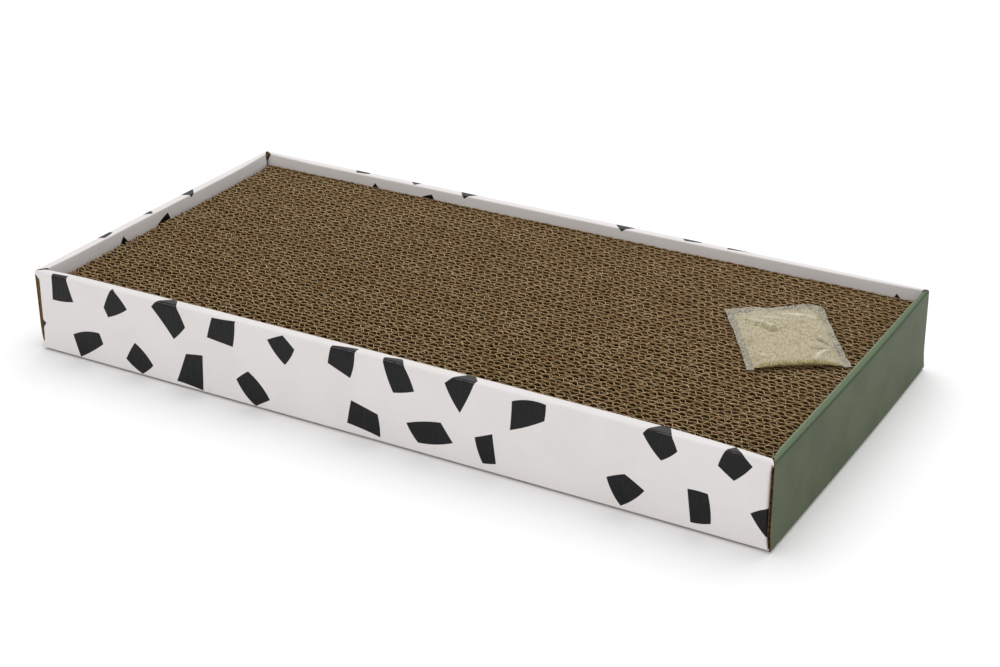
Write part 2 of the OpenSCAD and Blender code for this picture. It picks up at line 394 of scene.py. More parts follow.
# Mesh building.
def mesh_piece(name, points, faces, materials, face_materials=None, fields=None, sharp=35.0):
    """A mesh object from points in millimetres. fields are values at its points, for the shaders.

    sheet is a place on the unfolded board and a way across its flutes, crease is 1 on the line of
    a fold, tone is a random share along a paper, and depth is 0 at a sawn edge and 1 well below.
    """
    mesh = bpy.data.meshes.new(name)
    points = np.asarray(points, float)
    mesh.from_pydata((points * MM).tolist(), [], [list(map(int, f)) for f in faces])
    for material in materials:
        mesh.materials.append(material)
    if face_materials is not None:
        mesh.polygons.foreach_set("material_index", np.asarray(face_materials, np.int32))
    for field_name, values in (fields or {}).items():
        values = np.asarray(values, np.float32)
        kind = "FLOAT_VECTOR" if values.ndim == 2 else "FLOAT"
        attribute = mesh.attributes.new(field_name, kind, "POINT")
        attribute.data.foreach_set("vector" if values.ndim == 2 else "value", values.ravel())
    mesh.shade_smooth()
    mesh.set_sharp_from_angle(angle=math.radians(sharp))
    mesh.update()
    piece = bpy.data.objects.new(name, mesh)
    bpy.context.scene.collection.objects.link(piece)
    return piece


class Gathered:
    """Points, faces and values of several shapes that make up one piece."""

    def __init__(self):
        self.points = []
        self.faces = []
        self.materials = []
        self.fields = {}
        self.count = 0

    def add(self, points, faces, material, **fields):
        points = np.asarray(points, float).reshape(-1, 3)
        faces = np.asarray(faces, int) + self.count
        self.points.append(points)
        self.faces.extend(faces.tolist())
        self.materials.append(np.broadcast_to(np.asarray(material), (len(faces),)))
        for key, values in fields.items():
            self.fields.setdefault(key, []).append(np.asarray(values, float))
        self.count += len(points)

    def piece(self, name, materials, sharp=35.0):
        fields = {key: np.concatenate(values) for key, values in self.fields.items()}
        return mesh_piece(name, np.concatenate(self.points), self.faces, materials,
                          np.concatenate(self.materials), fields, sharp)


def grid_faces(rows, columns, start=0, flip=False):
    """Quads of a grid whose points are numbered row by row."""
    index = start + np.arange(rows * columns).reshape(rows, columns)
    quads = [index[:-1, :-1], index[:-1, 1:], index[1:, 1:], index[1:, :-1]]
    if flip:
        quads.reverse()
    return np.stack(quads, -1).reshape(-1, 4)


def band_faces(row_a, row_b, flip=False):
    """Quads between two rows of point numbers."""
    quads = np.stack([row_a[:-1], row_a[1:], row_b[1:], row_b[:-1]], -1)
    return quads[:, ::-1] if flip else quads


def shell_faces(rows, columns):
    """Quads of a sheet's two sides, one grid of points after the other, and of its four edges."""
    n = rows * columns
    index = np.arange(n).reshape(rows, columns)
    sides = [grid_faces(rows, columns, 0, True), grid_faces(rows, columns, n)]
    edges = ((index[0], False), (index[-1], True), (index[:, 0], True), (index[:, -1], False))
    return sides, [band_faces(edge, edge + n, flip) for edge, flip in edges]


def wobble(seed, places, longest, waves=4):
    """Smooth seeded noise of about -1 to 1 along a line: waves of falling length and height."""
    draw = np.random.default_rng(seed)
    places = np.asarray(places, float)
    total = np.zeros_like(places)
    size = 1.0
    for i in range(waves):
        length = longest / (1.7**i) * draw.uniform(0.8, 1.2)
        total += size * np.sin(math.tau * places / length + draw.uniform(0, math.tau))
        size *= 0.6
    return total / 1.8


# Tray.
CREASE_R = 1.7
INNER_CREASE_R = 0.9
CREASE_ZONE = 2.6
LINER_T = 0.3
FLANGE_W = 3.2
ARC_STEPS = 6


def fold_section():
    """Printed face of a wall from under the base, up the outer wall, over the rim and down.

    Each row is y inwards, z, the normal's y and z, the way along the board, and a crease value
    that is 1 on the line of a fold.
    """
    rows = []
    way = 0.0

    def line(start, end, steps, normal):
        nonlocal way
        length = math.dist(start, end)
        for i in range(steps + 1):
            share = i / steps
            y = start[0] + (end[0] - start[0]) * share
            z = start[1] + (end[1] - start[1]) * share
            rows.append((y, z, *normal, way + length * share, 0.0))
        way += length

    def arc(centre, start, end, radius=CREASE_R):
        nonlocal way
        length = radius * abs(end - start)
        for i in range(1, ARC_STEPS):
            share = i / ARC_STEPS
            angle = start + (end - start) * share
            normal = (math.cos(angle), math.sin(angle))
            y = centre[0] + radius * normal[0]
            z = centre[1] + radius * normal[1]
            rows.append((y, z, *normal, way + length * share, 1.0 - abs(2 * share - 1.0) ** 2))
        way += length

    low = CREASE_R
    high = TRAY_H - CREASE_R
    inner = RIM_W - INNER_CREASE_R
    inner_high = TRAY_H - INNER_CREASE_R
    line((FLANGE_W, 0.0), (low, 0.0), 2, (0.0, -1.0))
    arc((low, low), 1.5 * math.pi, math.pi)
    line((0.0, low), (0.0, high), 12, (-1.0, 0.0))
    arc((low, high), math.pi, 0.5 * math.pi)
    line((low, TRAY_H), (inner, TRAY_H), 4, (0.0, 1.0))
    arc((inner, inner_high), 0.5 * math.pi, 0.0, INNER_CREASE_R)
    line((RIM_W, inner_high), (RIM_W, BOARD_T + 0.05), 10, (1.0, 0.0))
    return np.array(rows)


def on_outer_flat(section):
    """True at the points on the flat of the outer wall, clear of both its folds."""
    y, z = section[:, 0], section[:, 1]
    return (y < 1e-6) & (z > CREASE_ZONE) & (z < TRAY_H - CREASE_ZONE)


def wall_ends(section, half_length, outer_half, inner_half, open_end, cut_rim, grow, mitre):
    """Half length of the wall at each point of its section: mitred under the base and on the rim.

    outer_half and inner_half are those of the two flat walls. open_end is how far the outer wall
    falls short of its own, at the top and at mid height, and cut_rim is how far the rim does.
    mitre is the slant of the rim's end. grow moves all but the inner wall out.
    """
    y, z = section[:, 0], section[:, 1]
    slant = np.where(z > TRAY_H - CREASE_ZONE, y * mitre + cut_rim, y)
    mitred = half_length + grow - CORNER_GAP / 2 - slant
    on_inner = (y > RIM_W - 1e-6) & (z < TRAY_H - CREASE_ZONE)
    rise = np.clip(z / TRAY_H, 0, 1)
    short = open_end[0] * rise**1.3 + open_end[1] * np.sin(math.pi * rise)
    ends = np.where(on_outer_flat(section), outer_half + grow - short, mitred)
    return np.where(on_inner, inner_half, ends)


EDGE_LIFT = 0.8
EDGE_LIFT_REACH = 7.5


def edge_lift(inwards):
    """Height of the base's edge over the floor, where the fold bows it up."""
    return EDGE_LIFT * np.clip(1 - inwards / EDGE_LIFT_REACH, 0, 1) ** 2


END_KEYS = ("open_ends", "cut_rim", "grow", "mitre")
PLAIN_ENDS = {"open_ends": ((0.0, 0.0), (0.0, 0.0)), "cut_rim": (0.0, 0.0), "grow": (0.0, 0.0),
              "mitre": (1.0, 1.0)}
NEAR_END = (0.15, 0.4, 0.8, 1.3, 2.0)
COLUMN_STEP = 5
PRINT_OFFSET = 97.0


def bow_at(way_share, left, middle, right):
    """How far a wall bulges outwards along its length."""
    return middle + np.where(way_share < 0, left - middle, right - middle) * way_share**2


def wall_piece(name, side_turn, half_width, half_length, outer_half, inner_half, tab_shares, seed,
               material, flutes_along, raw_ends, shape):
    """One wall of the tray: outer wall, rim and inner wall in one fold of the board.

    shape says how it departs from straight, for the left and the right end seen from outside. Its
    END_KEYS are those of wall_ends(). foot_in moves the foot in, and droop sags the rim in the
    middle. bow and inner_bow push the outer and the inner wall out, at the left, the middle and
    the right. pinch draws the inner wall out near an end, below and on top, over a length.
    """
    section = fold_section()
    left_ends, right_ends = [
        wall_ends(section, half_length, outer_half, inner_half, *[shape[key][end] for key in END_KEYS])
        for end in (0, 1)
    ]
    y, z = section[:, 0], section[:, 1]
    steps = int(half_length * 2 / COLUMN_STEP)
    near_end = np.array(NEAR_END) / half_length
    shares = np.concatenate([[-1.0], -1 + near_end, np.linspace(-1, 1, steps + 1)[1:-1],
                             (1 - near_end)[::-1], [1.0]])
    ends = np.where(shares[:, None] < 0, left_ends, right_ends)
    x = shares[:, None] * ends
    # How far a point belongs to the top, the outer wall and the inner wall.
    high_share = np.clip(z / TRAY_H, 0, 1)
    outer_like = np.clip(1 - y / 3.0, 0, 1)
    inner_like = np.clip(y / RIM_W, 0, 1)
    # The slack of the panels: a belly in the outer wall, a sag in the inner, and a drop of the rim.
    swell = 0.55 + 0.45 * wobble(seed, x, 260.0, 3)
    belly = np.sin(math.pi * high_share) * swell
    foot = np.exp(-((z / 7.0) ** 2))
    inset = outer_like * (0.10 - 0.08 * belly + shape["foot_in"] * foot)
    sag = inner_like * (0.1 + 0.35 * np.sin(math.pi * high_share) * (1 + wobble(seed + 1, x, 180.0, 3)))
    crest = np.clip((z - 40.0) / 9.5, 0, 1) ** 2
    way_share = x / ends
    drop = crest * (shape["droop"] * (1 - way_share**2) + 0.1 + 0.08 * wobble(seed + 2, x, 210.0, 4))
    drop = drop - edge_lift(y) * np.exp(-z / 5.0)
    # The walls bulge, but the edge under the base stays where it is.
    outer_bow, inner_bow = [bow_at(way_share, *shape[key]) for key in ("bow", "inner_bow")]
    held = np.where(z < CREASE_R, np.clip(1 - y / FLANGE_W, 0, 1), 1.0)
    outer_out = outer_bow * (0.6 + 0.4 * high_share) * (1 - inner_like)
    shift_y = inset - sag - held * (outer_out + inner_bow * inner_like)
    for sign, (pinch_low, pinch_top, reach) in zip((-1, 1), shape["pinch"]):
        near = np.clip(1 - (ends - sign * x) / reach, 0, 1) ** 1.5
        high = np.clip((z - 44.0) / 4.5, 0, 1)
        shift_y = shift_y - inner_like * near * (pinch_low + (pinch_top - pinch_low) * high)
    if not raw_ends:
        # A long wall's raw edge turns in a little.
        from_end = ends - np.abs(x)
        bend = np.clip(1 - from_end / 1.6, 0, 1)
        rounding = (1 - np.sqrt(np.clip(1 - bend**2, 0, 1))) * 1.5
        shift_y = shift_y + on_outer_flat(section) * rounding
    made = Gathered()
    crease = np.broadcast_to(section[:, 5], x.shape)
    way = np.broadcast_to(section[:, 4], x.shape)

    def layer(depth):
        points_y = y - depth * section[:, 2] + shift_y
        points_z = z - depth * section[:, 3] - drop
        return np.stack([x, points_y, points_z], -1)

    sheet = np.stack([x + PRINT_OFFSET * seed, way, x if flutes_along else way], -1)
    sides, edges = shell_faces(*x.shape)
    for depth_out, depth_in, kind in ((0.0, LINER_T, 0), (BOARD_T - LINER_T, BOARD_T, 1)):
        kinds = [np.full(len(sides[0]), kind), np.full(len(sides[1]), 1)]
        kinds += [np.full(len(edge), 2) for edge in edges]
        made.add(
            np.concatenate([layer(depth_out), layer(depth_in)]),
            np.concatenate(sides + edges),
            np.concatenate(kinds),
            sheet=np.concatenate([sheet.reshape(-1, 3)] * 2),
            crease=np.concatenate([crease.ravel()] * 2),
            tone=np.full(2 * x.size, 0.5),
        )
    for share in tab_shares:
        add_tab(made, share * 2 * inner_half)
    if raw_ends:
        for sign, grow in zip((-1, 1), shape["grow"]):
            add_end_flutes(made, sign, section, outer_half + grow, layer(BOARD_T / 2))
    # The green wall's raw ends take the paper painted with shade.
    piece = made.piece(name, [material, KRAFT, RAW_EDGE_SHADE if material == GREEN else RAW])
    turn = Matrix.Rotation(side_turn, 4, "Z") @ Matrix.Translation((0, -half_width * MM, 0))
    piece.data.transform(turn)
    return piece


def add_tab(made, centre):
    """A locking tab under the inner wall, with its sides tapered."""
    half = TAB_L / 2
    low = BOARD_T - TAB_DEPTH
    high = BOARD_T + 0.4
    left_low = (centre - half + TAB_TAPER, low)
    right_low = (centre + half - TAB_TAPER, low)
    outline = [left_low, right_low, (centre + half, high), (centre - half, high)]
    sides = (RIM_W - BOARD_T + 0.05, RIM_W - 0.05)
    points = np.array([(px, side, pz) for side in sides for px, pz in outline])
    faces = [(4 + i, 4 + (i + 1) % 4, (i + 1) % 4, i) for i in range(4)]
    faces += [(0, 1, 2, 3), (7, 6, 5, 4)]
    made.add(points, faces, 1, sheet=points * 0, crease=np.zeros(8), tone=np.full(8, 0.5))


END_FLUTE_T = 0.2
END_FLUTE_HEIGHT = 0.42
END_FLUTE_DEPTH = 4.5


def add_end_flutes(made, sign, section, outer_half, middle):
    """The board's fluted paper where it shows in the raw vertical edge of an end wall."""
    column = np.nonzero(on_outer_flat(section))[0]
    row = 0 if sign < 0 else -1
    up = np.linspace(CREASE_ZONE, TRAY_H - 3.0, 160)
    base_y = np.interp(up, middle[row, column, 2], middle[row, column, 1])
    wave = END_FLUTE_HEIGHT * np.sin(math.tau * up / BOARD_FLUTE + sign)
    points = []
    for inwards in (0.0, END_FLUTE_DEPTH):
        rag = 0.12 * wobble(77 + sign, up, 9.0, 4) if inwards == 0 else 0.0
        for side in (-0.5, 0.5):
            x = np.full_like(up, sign * (outer_half - inwards)) - sign * (0.25 + rag)
            points.append(np.stack([x, base_y + wave + side * END_FLUTE_T, up], -1))
    points = np.concatenate(points)
    n = len(up)
    index = np.arange(4 * n).reshape(4, n)
    bands = ((0, 1, False), (0, 2, True), (1, 3, False), (2, 3, True))
    faces = [band_faces(index[a], index[b], turned != (sign > 0)) for a, b, turned in bands]
    made.add(points, np.concatenate(faces), 2, sheet=points * 0, crease=np.zeros(4 * n),
             tone=np.full(4 * n, 0.5))


def set_on_tray(piece, slot_name, *nodes):
    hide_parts(*nodes)
    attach(piece, "tray")


def build_tray():
    long_outer = TRAY_L / 2 - BOARD_T
    long_inner = (TRAY_L - 4 * BOARD_T - 2 * CORNER_GAP) / 2
    end_inner = (TRAY_W - 2 * RIM_W - 2 * CORNER_GAP) / 2
    walls = [
        ("front", 0.0, True, PRINTED, "white_board", 1, {
            "open_ends": ((1.1, 0.0), (0.1, 0.5)), "cut_rim": (0.0, 0.3), "grow": (0.0, 0.45),
            "mitre": (1.0, 0.45), "foot_in": -0.7,
            "droop": -0.6, "bow": (0.5, 0.7, 1.9), "inner_bow": (-0.2, -0.2, 0.3),
            "pinch": ((1.5, 2.0, 30.0), (2.8, 3.6, 60.0))}),
        ("back", math.pi, True, PRINTED, "white_board", 2, {
            "open_ends": ((0.8, 0.3), (0.6, 0.3)), "cut_rim": (0.6, 0.0), "grow": (0.0, 0.0),
            "mitre": (0.5, 1.0), "foot_in": 0.1,
            "droop": 0.3, "bow": (-2.4, 0.0, 0.0), "inner_bow": (0.0, 0.0, 0.0),
            "pinch": ((1.0, 1.0, 30.0), (1.5, 2.0, 40.0))}),
        ("left", -math.pi / 2, False, PRINTED, "white_board", 3, PLAIN_ENDS | {
            "foot_in": 1.4,
            "droop": 0.1, "bow": (0.0, 0.6, 0.2), "inner_bow": (0.0, 0.6, 0.2),
            "pinch": ((1.0, 2.0, 40.0), (0.5, 1.0, 25.0))}),
        ("right", math.pi / 2, False, GREEN, "green_board", 4, PLAIN_ENDS | {
            "grow": (2.6, -2.0), "foot_in": -0.9,
            "droop": 0.0, "bow": (0.6, 1.3, -0.8), "inner_bow": (2.2, 2.6, 2.2),
            "pinch": ((0.3, 1.2, 12.0), (0.2, 0.4, 20.0))}),
    ]
    for side, turn, is_long, material, slot_name, seed, shape in walls:
        if is_long:
            sizes = (TRAY_W / 2, TRAY_L / 2, long_outer - 0.05, long_inner, LONG_TAB_SHARES)
        else:
            sizes = (TRAY_L / 2, TRAY_W / 2, TRAY_W / 2 - 0.2, end_inner, END_TAB_SHARES)
        piece = wall_piece(f"{side}_folded_wall", turn, *sizes, seed, material, is_long, not is_long,
                           shape)
        set_on_tray(piece, slot_name, f"{side}_outer_wall", f"{side}_rim", f"{side}_inner_wall")
    build_base(long_inner, end_inner)


def slot_boxes(long_inner, end_inner):
    """Slots of the base as x and y limits."""
    boxes = []
    for sign in (-1, 1):
        for share in LONG_TAB_SHARES:
            middle = share * 2 * long_inner
            edge = sign * (TRAY_W / 2 - RIM_W + BOARD_T / 2)
            boxes.append((middle, edge, TAB_L / 2 + TAB_GAP, BOARD_T / 2 + TAB_GAP))
        for share in END_TAB_SHARES:
            middle = share * 2 * end_inner
            edge = sign * (TRAY_L / 2 - RIM_W + BOARD_T / 2)
            boxes.append((edge, middle, BOARD_T / 2 + TAB_GAP, TAB_L / 2 + TAB_GAP))
    return [(cx - hx, cx + hx, cy - hy, cy + hy) for cx, cy, hx, hy in boxes]


def base_lines(half, plain, slot_sides):
    """Places of the base's grid lines along one axis, closer near the edges, which bow up."""
    near_edge = half - np.array([0.0, 1.5, 3.0, 4.5, 6.0])
    return np.unique(np.round(np.concatenate([near_edge, -near_edge, plain, slot_sides]), 4))


def build_base(long_inner, end_inner):
    """The base board, with a slot for every tab."""
    holes = slot_boxes(long_inner, end_inner)
    slot_sides = np.array(holes)
    xs = base_lines(TRAY_L / 2 - FLANGE_W, np.linspace(-200, 200, 21), slot_sides[:, :2].ravel())
    ys = base_lines(TRAY_W / 2 - FLANGE_W, np.linspace(-96, 96, 13), slot_sides[:, 2:].ravel())
    middle_x, middle_y = (xs[1:] + xs[:-1]) / 2, (ys[1:] + ys[:-1]) / 2
    solid = np.ones((len(middle_y), len(middle_x)), bool)
    for x0, x1, y0, y1 in holes:
        in_x = (middle_x > x0) & (middle_x < x1)
        in_y = (middle_y > y0) & (middle_y < y1)
        solid[np.ix_(in_y, in_x)] = False
    grid_x, grid_y = np.meshgrid(xs, ys)
    n = grid_x.size
    lift = edge_lift(np.minimum(TRAY_L / 2 - np.abs(grid_x), TRAY_W / 2 - np.abs(grid_y)))
    levels = [np.stack([grid_x, grid_y, lift + z], -1).reshape(-1, 3) for z in (0.0, BOARD_T)]
    index = np.arange(n).reshape(grid_x.shape)
    faces, kinds = [], []
    rows, columns = solid.shape
    for j in range(rows):
        for i in range(columns):
            if not solid[j, i]:
                continue
            a, b, c, d = index[j, i], index[j, i + 1], index[j + 1, i + 1], index[j + 1, i]
            faces += [(a, d, c, b), (a + n, b + n, c + n, d + n)]
            kinds += [0, 1]
            beside = ((j - 1, i, a, b), (j, i + 1, b, c), (j + 1, i, c, d), (j, i - 1, d, a))
            for nj, ni, p, q in beside:
                if not (0 <= nj < rows and 0 <= ni < columns) or not solid[nj, ni]:
                    faces.append((p, q, q + n, p + n))
                    kinds.append(2)
    points = np.concatenate(levels)
    sheet = np.stack([points[:, 0], points[:, 1] * 0 - 400.0, points[:, 0]], -1)
    fields = {"sheet": sheet, "crease": np.zeros(len(points)), "tone": np.full(len(points), 0.5)}
    piece = mesh_piece("base_board", points, faces, [KRAFT, KRAFT, RAW], kinds, fields)
    set_on_tray(piece, "plain_board", "base")


build_tray()
for flap in ("front_left_flap", "front_right_flap", "back_left_flap", "back_right_flap"):
    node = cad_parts[flap]
    node.data.materials.clear()
    node.data.materials.append(KRAFT)


# Pad.
LINER_PAPER_T = 0.30
FLUTE_PAPER_T = 0.24
FLUTE_STEPS = 18
LINER_STEPS = 560
SAWN_DEPTH = 2.6
SLIVERS_PER_BUNDLE = 40
SLIVER_T = 0.12


def liner_drift(line, places):
    """Sideways waviness of a glue line between two strips, which the crests push to and fro."""
    free = np.clip((220 - np.abs(places)) / 30, 0, 1)
    pushed = 0.24 * wobble(700 + line, places, 8.6, 3)
    return (0.18 * wobble(500 + line, places, 90.0, 4) + pushed) * free


def sawn_top(strip, places):
    """Height of a strip's sawn edge. It differs from strip to strip and rises at the back."""
    draw = np.random.default_rng(900 + strip)
    back = np.clip((strip / STRIP_COUNT - 0.75) / 0.25, 0, 1) ** 2 * 0.9
    ragged = 0.14 * (1 + wobble(1300 + strip, places, 60.0, 6))
    ragged = ragged + 0.12 * np.abs(wobble(1400 + strip, places, 5.0, 3))
    return PAD_TOP + back - 0.10 - 0.6 * draw.random() ** 2 - ragged


def smooth_noise(draw, count, width):
    """Random numbers of unit size along a line, averaged over a few neighbours."""
    return np.convolve(draw.normal(0, 1, count + width - 1), np.ones(width) / width**0.5, "valid")


def add_ribbon(made, x, y, thickness, top, seed, crush):
    """A band of paper that stands on edge: from the base to a ragged, slightly crushed top."""
    draw = np.random.default_rng(seed)
    n = len(x)
    along_x, along_y = np.gradient(x), np.gradient(y)
    length = np.hypot(along_x, along_y)
    across_x, across_y = -along_y / length, along_x / length
    crush_x, crush_y = smooth_noise(draw, n, 5) * crush, smooth_noise(draw, n, 5) * crush
    rag = draw.normal(0, 0.07, n)
    burr = 1.0 + 0.5 * np.abs(smooth_noise(draw, n, 3))
    # Height, crushing and spread at the base, a little under the sawn edge, and at that edge.
    levels = [
        (np.full(n, BOARD_T + 0.05), 0.0, 1.0),
        (top - SAWN_DEPTH, 0.0, 1.0),
        (top + rag, 1.0, burr),
    ]
    points = []
    for z, crushed, spread in levels:
        for side in (-0.5, 0.5):
            reach = side * thickness * spread
            px = x + across_x * reach + crush_x * crushed
            py = y + across_y * reach + crush_y * crushed
            points.append(np.stack([px, py, z], -1))
    index = np.arange(6 * n).reshape(6, n)
    sides = ((0, 2, False), (2, 4, False), (1, 3, True), (3, 5, True), (4, 5, False), (0, 1, True))
    faces = [band_faces(index[a], index[b], flip) for a, b, flip in sides]
    kinds = [np.full(n - 1, int((a, b) == (4, 5))) for a, b, _ in sides]
    ends = []
    for i, flip in ((0, True), (n - 1, False)):
        for a, b, c, d in ((0, 1, 3, 2), (2, 3, 5, 4)):
            quad = [index[a][i], index[b][i], index[c][i], index[d][i]]
            ends.append(quad[::-1] if flip else quad)
    faces.append(np.array(ends))
    kinds.append(np.zeros(len(ends), int))
    tone = np.clip(draw.uniform(0.3, 0.8) + 0.22 * smooth_noise(draw, n, 9), 0, 1)
    depth = np.repeat([1.0, 1.0, 0.0], 2 * n)
    made.add(np.concatenate(points), np.concatenate(faces), np.concatenate(kinds),
             tone=np.tile(tone, 6), depth=depth)


def add_liner(made, line):
    x = np.linspace(-PAD_L / 2, PAD_L / 2, LINER_STEPS)
    y = -PAD_W / 2 + line * STRIP_PITCH + CAD_LINER_T / 2 + liner_drift(line, x)
    below = 0.28 + 0.25 * wobble(2500 + line, x, 6.0, 3)
    add_ribbon(made, x, y, LINER_PAPER_T, sawn_top(line, x) - below, 2000 + line, 0.10)


def add_flutes(made, strip):
    """The fluted paper of a strip: rounded crests on the liners and steep legs between them."""
    draw = np.random.default_rng(3000 + strip)
    shift = (strip * SHIFT_SHARE % 1) * 2 * HALF_FLUTE + draw.normal(0, 0.45)
    crest_count = int(PAD_L / HALF_FLUTE) + 4
    phases = np.arange(crest_count) - 1
    crest_x = phases * HALF_FLUTE - shift - PAD_L / 2
    crest_x = crest_x + draw.normal(0, 0.40, crest_count)
    x = np.linspace(-PAD_L / 2 + 0.2, PAD_L / 2 - 0.2, FLUTE_COUNT * FLUTE_STEPS + 1)
    phase = np.interp(x, crest_x, phases)
    steep = draw.uniform(1.1, 1.9)
    wave = -np.tanh(steep * np.cos(math.pi * phase)) / math.tanh(steep)
    wave = wave * np.interp(phase, phases, draw.uniform(0.88, 1.04, crest_count))
    low = liner_drift(strip, x) + CAD_LINER_T
    high = liner_drift(strip + 1, x) + STRIP_PITCH
    reach = (high - low - FLUTE_PAPER_T) / 2
    y = -PAD_W / 2 + strip * STRIP_PITCH + (low + high) / 2 + wave * reach
    lean = 0.35 * wobble(3500 + strip, x, 40.0, 3)
    add_ribbon(made, x + lean * wave, y, FLUTE_PAPER_T, sawn_top(strip, x) - 0.05, 4000 + strip, 0.12)


def add_slivers(made, first, last, seed):
    """Frayed bits of paper that the saw left lying on the edges."""
    draw = np.random.default_rng(seed)
    for _ in range(SLIVERS_PER_BUNDLE):
        cx = draw.uniform(-PAD_L / 2 + 8, PAD_L / 2 - 8)
        cy = -PAD_W / 2 + draw.uniform(first + 0.4, last - 0.4) * STRIP_PITCH
        turn = draw.uniform(0, math.tau)
        length = draw.uniform(1.4, 3.6)
        width = draw.uniform(0.25, 0.7)
        steps = np.linspace(-0.5, 0.5, 5)
        curl = draw.uniform(0.1, 0.45)
        points = []
        for lift in (0.0, SLIVER_T):
            for side in (-0.5, 0.5):
                aside = side * width * (1 - 2 * steps**2)
                px = cx + math.cos(turn) * steps * length - math.sin(turn) * aside
                py = cy + math.sin(turn) * steps * length + math.cos(turn) * aside
                pz = PAD_TOP - 0.35 + lift + curl * (1 - 4 * steps**2)
                points.append(np.stack([px, py, pz], -1))
        index = np.arange(20).reshape(4, 5)
        sides = ((0, 1, True), (2, 3, False), (0, 2, False), (1, 3, True))
        faces = [band_faces(index[a], index[b], flip) for a, b, flip in sides]
        faces.append(np.array([[0, 10, 15, 5], [4, 9, 19, 14]]))
        made.add(np.concatenate(points), np.concatenate(faces), 1,
                 tone=np.full(20, draw.random()), depth=np.zeros(20))


def build_pad():
    bundles = math.ceil(STRIP_COUNT / BUNDLE_STRIPS)
    for bundle in range(bundles):
        first = bundle * BUNDLE_STRIPS
        last = min(first + BUNDLE_STRIPS, STRIP_COUNT)
        made = Gathered()
        for strip in range(first, last):
            add_liner(made, strip)
            add_flutes(made, strip)
        if last == STRIP_COUNT:
            add_liner(made, last)
        add_slivers(made, first, last, 5000 + bundle)
        piece = made.piece(f"open_strips_{bundle + 1}", [KRAFT_STRIP, CUT_STRIP], 40.0)
        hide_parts(f"strip_bundle_{bundle + 1}")
        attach(piece, "pad")


KRAFT_STRIP = kraft_paper("strip_paper", STRIP_LIGHT, STRIP_MID, STRIP_DARK, 0.10, CUT_DARK)
CUT_STRIP = kraft_paper("sawn_paper", CUT_LIGHT, CUT_DARK, KRAFT_MID, 0.15)
build_pad()


# Sachet.
POUCH_STEPS = (150, 104)

# Ridges and grooves of the upper cloth, in millimetres: start, end, half width and height.
POUCH_CREASES = (
    ((-27, -23), (3, 4), 1.0, 1.7),
    ((-27, 0), (-19, 24), 1.7, 1.6),
    ((-24, -14), (-16, 6), 1.3, 0.9),
    ((37, 5), (12, 26), 1.2, 1.2),
    ((2, 22), (14, 6), 1.2, 0.6),
    ((20, -22), (33, -12), 1.4, 0.6),
    ((-2, -12), (-8, 6), 2.0, -1.2),
    ((6, 12), (16, 25), 1.6, -1.7),
    ((22, 7), (19, 23), 1.8, -1.5),
    ((-22, -22), (4, 0), 1.6, -0.7),
)

# How far the far seal curls up along its length.
CURL_AT = (-27.5, -19, -11, -3.3, 6.7, 16.5, 24.5, 27.5)
CURL_LIFT = (0.2, 0.9, 1.6, 0.2, 1.2, 2.2, 1.4, 0.3)

# The fuller end is rolled under: where the roll begins, how long it is, and how far it turns.
ROLL_START = 30
ROLL_LENGTH = 7
ROLL_TURN = np.radians(150)


def ridge(x, y, start, end, width, height):
    """A soft crease: a raised or sunk line between two points, fading at its ends."""
    dx, dy = end[0] - start[0], end[1] - start[1]
    length = math.hypot(dx, dy)
    along = ((x - start[0]) * dx + (y - start[1]) * dy) / length**2
    across = ((y - start[1]) * dx - (x - start[0]) * dy) / length
    fade = np.clip(np.sin(math.pi * np.clip(along, 0, 1)), 0, 1)
    return height * fade * np.exp(-((across / width) ** 2))


